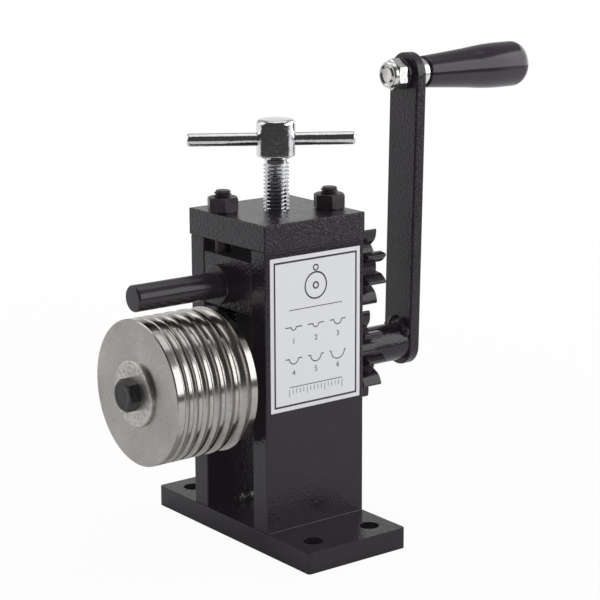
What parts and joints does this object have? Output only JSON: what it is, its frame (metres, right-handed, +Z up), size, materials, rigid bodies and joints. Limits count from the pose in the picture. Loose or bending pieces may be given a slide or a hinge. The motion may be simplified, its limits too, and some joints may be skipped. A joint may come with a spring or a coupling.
{
  "type": "ring roller",
  "caption": "Hand-cranked ring roller with a grooved roller, a top shaft on a screw-fed sliding block, meshed gears and a plate frame on a drilled base.",
  "frame": {"origin": "centre of the base plate's underside", "axes": "+Z up, +X along the base plate, +Y from the roller towards the crank"},
  "size_m": [0.119, 0.2322, 0.2197],
  "materials": {
    "black_coat": "semi-gloss black powder coat with a fine orange-peel texture",
    "chrome": "polished chrome",
    "zinc_plate": "bright zinc plate",
    "bronze": "turned bronze",
    "spring_steel": "bright spring wire",
    "label": "white printed plate",
    "black_oxide": "smooth black oxide",
    "plain_steel": "machined steel",
    "roller_steel": "turned and ground steel",
    "grip_plastic": "glossy black phenolic"
  },
  "bodies": {
    "frame": {"base_plate": "black_coat", "left_upright": "black_coat", "right_upright": "black_coat", "upright_welds": "black_coat", "cap_plate": "black_coat", "lower_block": "black_coat", "block_welds": "black_coat", "drive_front_bush": "bronze", "drive_rear_bush": "bronze", "guide_studs": "zinc_plate", "cap_nuts": "zinc_plate", "label_plate": "label", "front_lift_spring": "spring_steel", "rear_lift_spring": "spring_steel"},
    "block": {"sliding_block": "black_coat"},
    "screw": {"pressure_screw": "chrome", "tommy_bar": "chrome"},
    "upper": {"top_shaft": "black_oxide", "top_gear": "black_oxide", "top_gear_key": "plain_steel", "top_clip": "plain_steel", "top_front_collar": "black_oxide", "top_collar_grub": "plain_steel", "top_rear_spacer": "black_oxide"},
    "drive": {"drive_shaft": "plain_steel", "roller": "roller_steel", "roller_key": "plain_steel", "roller_washer": "zinc_plate", "roller_bolt": "black_oxide", "drive_front_collar": "black_oxide", "drive_rear_spacer": "black_oxide", "drive_gear": "black_oxide", "drive_gear_key": "plain_steel", "crank_hub": "black_coat", "hub_grub_screw": "plain_steel", "hub_weld": "black_coat", "crank_arm": "black_coat", "handle_spindle": "zinc_plate", "handle_washer": "black_oxide", "handle_nut": "zinc_plate"},
    "grip": {"handle_bush": "bronze", "handle_grip": "grip_plastic"}
  },
  "joints": [
    {"name": "crank_turn", "type": "hinge", "parent": "frame", "child": "drive", "pos_m": [0, 0, 0.0787], "axis": [0, 1, 0], "continuous": true},
    {"name": "screw_turn", "type": "hinge", "parent": "block", "child": "screw", "pos_m": [0, 0, 0.1214], "axis": [0, 0, 1], "range_deg": [-648.1, 411.53]},
    {"name": "block_slide", "type": "slide", "parent": "frame", "child": "block", "axis": [0, 0, 1], "range_m": [-0.00315, 0.002], "deforming": ["front_lift_spring", "rear_lift_spring"]},
    {"name": "top_shaft_turn", "type": "hinge", "parent": "block", "child": "upper", "pos_m": [0, 0, 0.1214], "axis": [0, 1, 0], "continuous": true},
    {"name": "grip_turn", "type": "hinge", "parent": "drive", "child": "grip", "pos_m": [0.00318, 0.1, 0.20866], "axis": [0, 1, 0], "continuous": true}
  ],
  "couplings": [
    {"joint": "screw_turn", "follows": "block_slide", "rad_per_m": 3590.4},
    {"joint": "top_shaft_turn", "follows": "crank_turn", "ratio": -1}
  ]
}
